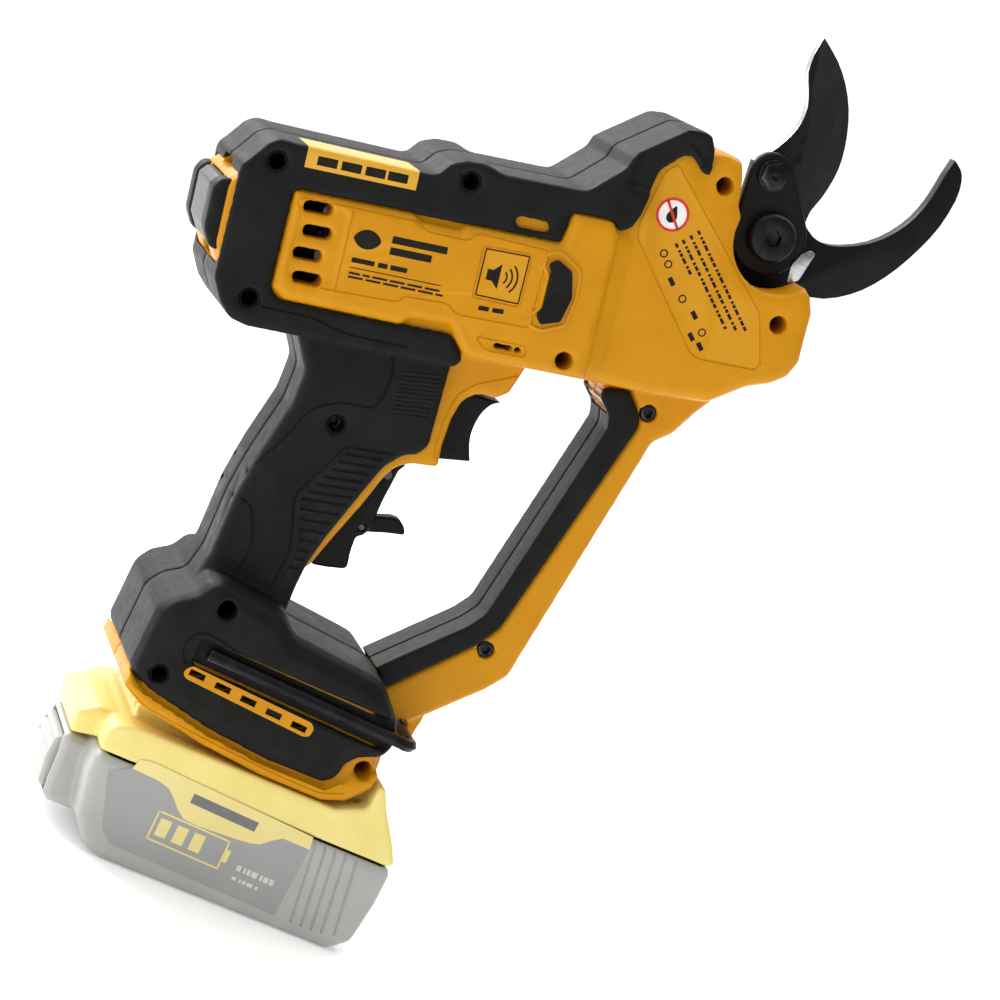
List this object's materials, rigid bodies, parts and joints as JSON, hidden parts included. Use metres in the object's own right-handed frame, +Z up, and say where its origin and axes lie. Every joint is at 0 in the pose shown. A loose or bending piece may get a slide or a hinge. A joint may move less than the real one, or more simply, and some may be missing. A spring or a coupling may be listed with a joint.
{
  "type": "battery electric pruner",
  "caption": "Cordless pruner with a swinging upper blade over a hooked lower blade, pistol grip with hand guard, and slide-on battery pack.",
  "frame": {"origin": "centre of the flat underside of the battery pack, which the tool stands on", "axes": "+X forwards to the blades, +Y to the tool's left, +Z up"},
  "size_m": [0.2377, 0.0772, 0.3448],
  "materials": {
    "housing_yellow": "satin moulded glass-filled nylon",
    "soft_black": "finely grained soft overmould",
    "badge_grey": "satin printed badge",
    "screw_steel": "blackened thread-forming screw",
    "turned_steel": "turned and hobbed steel",
    "black_steel": "black oxide",
    "blade_steel": "black coated blade with a ground edge",
    "motor_iron": "laminations and copper windings",
    "cast_zinc": "die cast",
    "plain_black": "moulded nylon",
    "board_green": "solder resist",
    "battery_grey": "moulded ABS",
    "battery_yellow": "moulded ABS",
    "button_grey": "moulded ABS",
    "cell_wrap": "shrink-wrapped cells"
  },
  "bodies": {
    "housing": {"housing_right": "housing_yellow", "housing_left": "housing_yellow", "overmould_right": "soft_black", "overmould_left": "soft_black", "guard_pad_right": "soft_black", "guard_pad_left": "soft_black", "rear_badge": "badge_grey", "side_bumper_right": "soft_black", "side_bumper_left": "soft_black", "housing_screw_01": "screw_steel", "housing_screw_02": "screw_steel", "housing_screw_03": "screw_steel", "housing_screw_04": "screw_steel", "housing_screw_05": "screw_steel", "housing_screw_06": "screw_steel", "housing_screw_07": "screw_steel", "housing_screw_08": "screw_steel", "housing_screw_09": "screw_steel", "housing_screw_10": "screw_steel", "housing_screw_11": "screw_steel", "housing_screw_12": "screw_steel", "stator": "motor_iron", "rear_bearing": "turned_steel", "front_bearing": "turned_steel", "gear_case": "cast_zinc", "output_bearing": "turned_steel", "countershaft_bearing": "turned_steel", "hook_blade": "blade_steel", "trigger_spring": "turned_steel", "switch_block": "plain_black", "lever_pin": "turned_steel", "control_board": "board_green", "terminal_block": "plain_black"},
    "blade": {"cutting_blade": "blade_steel", "link_plate": "blade_steel", "blade_stud": "turned_steel", "pivot_bolt": "black_steel", "pivot_nut": "black_steel", "drive_sector": "turned_steel"},
    "countershaft_gears": {"countershaft": "turned_steel", "bevel_gear": "turned_steel", "drive_pinion": "turned_steel"},
    "carrier": {"planet_carrier": "turned_steel", "bevel_pinion": "turned_steel"},
    "rotor": {"motor_shaft": "turned_steel", "rotor_core": "motor_iron", "cooling_fan": "plain_black"},
    "planet_1": {"planet_gear_1": "turned_steel"},
    "planet_2": {"planet_gear_2": "turned_steel"},
    "planet_3": {"planet_gear_3": "turned_steel"},
    "trigger_body": {"trigger": "plain_black"},
    "safety_lever_body": {"safety_lever": "plain_black", "latch_pin": "turned_steel"},
    "latch_body": {"lever_latch": "plain_black"},
    "battery": {"battery_case": "battery_grey", "battery_top": "battery_yellow", "cell_pack": "cell_wrap"},
    "battery_button_body": {"battery_button": "button_grey"},
    "hex_key_body": {"hex_key": "black_steel"}
  },
  "joints": [
    {"name": "blade_pivot", "type": "hinge", "parent": "housing", "child": "blade", "pos_m": [0.0807, 0, 0.2773], "axis": [0, 1, 0], "range_deg": [0, 62]},
    {"name": "countershaft_spin", "type": "hinge", "parent": "housing", "child": "countershaft_gears", "pos_m": [0.06984, 0, 0.24298], "axis": [0, 1, 0], "range_deg": [-103.83, 0.5]},
    {"name": "carrier_spin", "type": "hinge", "parent": "housing", "child": "carrier", "pos_m": [0.01265, 0, 0.22977], "axis": [0.9744, 0, 0.225], "range_deg": [-0.5, 207.17]},
    {"name": "rotor_spin", "type": "hinge", "parent": "housing", "child": "rotor", "pos_m": [-0.02146, 0, 0.2219], "axis": [0.9744, 0, 0.225], "range_deg": [-0.5, 930.5]},
    {"name": "planet_1_spin", "type": "hinge", "parent": "carrier", "child": "planet_1", "pos_m": [0.00991, 0, 0.24161], "axis": [0.9744, 0, 0.225], "range_deg": [-579.17, 0.5]},
    {"name": "planet_2_spin", "type": "hinge", "parent": "carrier", "child": "planet_2", "pos_m": [0.01401, -0.01052, 0.22385], "axis": [0.9744, 0, 0.225], "range_deg": [-579.17, 0.5]},
    {"name": "planet_3_spin", "type": "hinge", "parent": "carrier", "child": "planet_3", "pos_m": [0.01401, 0.01052, 0.22385], "axis": [0.9744, 0, 0.225], "range_deg": [-579.17, 0.5]},
    {"name": "trigger_pull", "type": "slide", "parent": "housing", "child": "trigger_body", "axis": [-1, 0, 0], "range_m": [0, 0.006], "stiffness_N_per_m": 600, "springref_m": -0.004, "deforming": ["trigger_spring"]},
    {"name": "safety_lever_swing", "type": "hinge", "parent": "housing", "child": "safety_lever_body", "pos_m": [-0.003, 0, 0.151], "axis": [0, 1, 0], "range_deg": [0, 8], "stiffness_Nm_per_rad": 0.5, "springref_deg": -17.19},
    {"name": "lever_latch_swing", "type": "hinge", "parent": "safety_lever_body", "child": "latch_body", "pos_m": [-0.0022, 0, 0.1308], "axis": [0, 1, 0], "range_deg": [0, 20], "stiffness_Nm_per_rad": 0.01, "springref_deg": -17.19},
    {"name": "battery_slide", "type": "slide", "parent": "housing", "child": "battery", "axis": [1, 0, 0], "range_m": [0, 0.1]},
    {"name": "battery_button_press", "type": "slide", "parent": "battery", "child": "battery_button_body", "axis": [1, 0, 0], "range_m": [0, 0.0028], "stiffness_N_per_m": 1500, "springref_m": -0.002},
    {"name": "hex_key_pull", "type": "slide", "parent": "housing", "child": "hex_key_body", "axis": [0, -1, 0], "range_m": [0, 0.032]}
  ],
  "couplings": [
    {"joint": "countershaft_spin", "follows": "blade_pivot", "ratio": -1.6667},
    {"joint": "carrier_spin", "follows": "blade_pivot", "ratio": 3.3333},
    {"joint": "rotor_spin", "follows": "blade_pivot", "ratio": 15},
    {"joint": "planet_1_spin", "follows": "blade_pivot", "ratio": -9.3333},
    {"joint": "planet_2_spin", "follows": "blade_pivot", "ratio": -9.3333},
    {"joint": "planet_3_spin", "follows": "blade_pivot", "ratio": -9.3333}
  ]
}
